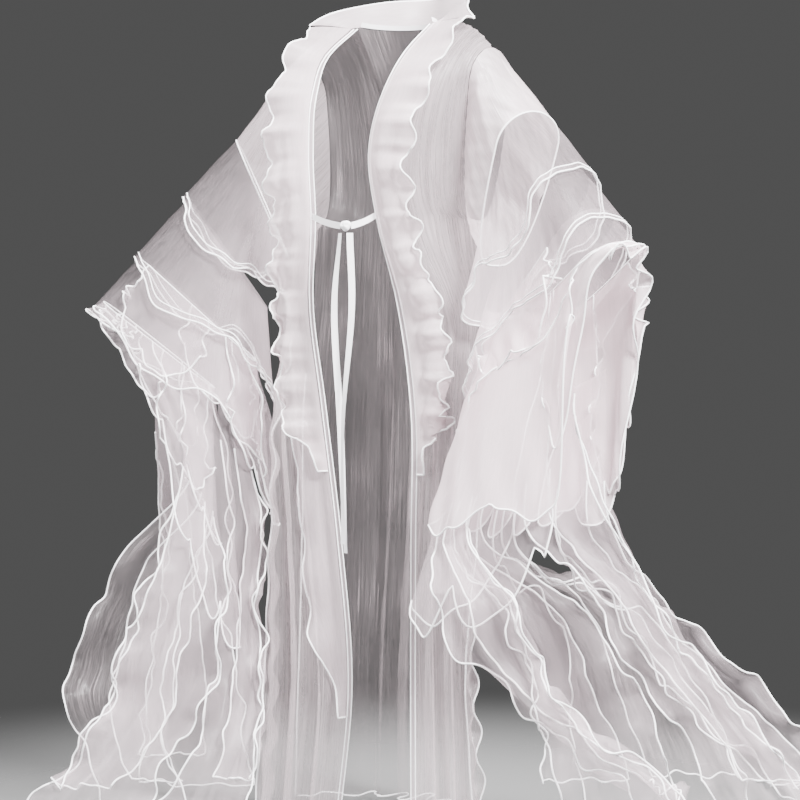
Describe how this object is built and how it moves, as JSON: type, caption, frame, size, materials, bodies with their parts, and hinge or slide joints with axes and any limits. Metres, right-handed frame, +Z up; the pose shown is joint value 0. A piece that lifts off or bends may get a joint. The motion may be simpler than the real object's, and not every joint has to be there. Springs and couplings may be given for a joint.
{
  "type": "hanfu robe",
  "caption": "Open-front hanfu robe in sheer white organza with a ruffled collar, waist tie, tiered flounce sleeves and floor-length streamers",
  "frame": {"origin": "centre of the neck base at the level of the shoulder tops, where the wearer's shoulders hold the robe", "axes": "+Z up; the open front faces -Y; the wearer's left sleeve is on +X"},
  "size_m": [1.3123, 0.677, 1.299],
  "materials": {
    "organza_crinkle": "sheer water-ripple crinkled organza with a soft glimmer",
    "organza_smooth": "sheer smooth organza with narrow rolled hems",
    "ribbon": "narrow double-folded organza ribbon, soft satin sheen"
  },
  "bodies": {
    "root": {"back_panel": "organza_crinkle", "front_right": "organza_crinkle", "front_left": "organza_crinkle", "sleeve_upper_right": "organza_crinkle", "sleeve_upper_left": "organza_crinkle", "train_right": "organza_crinkle", "train_left": "organza_crinkle", "collar_right": "organza_smooth", "collar_left": "organza_smooth", "collar_back": "organza_smooth", "flounce_1_right": "organza_smooth", "flounce_2_right": "organza_smooth", "flounce_3_right": "organza_smooth", "flounce_4_right": "organza_smooth", "flounce_1_left": "organza_smooth", "flounce_2_left": "organza_smooth", "flounce_3_left": "organza_smooth", "flounce_4_left": "organza_smooth", "streamer_1_right": "organza_smooth", "streamer_2_right": "organza_smooth", "streamer_3_right": "organza_smooth", "streamer_1_left": "organza_smooth", "streamer_2_left": "organza_smooth", "streamer_3_left": "organza_smooth", "streamer_4_left": "organza_smooth", "band_right": "ribbon", "band_left": "ribbon", "band_neck": "ribbon", "tie_right": "ribbon", "tie_left": "ribbon", "tie_knot": "ribbon", "tie_tail_right": "ribbon", "tie_tail_left": "ribbon"}
  },
  "joints": []
}
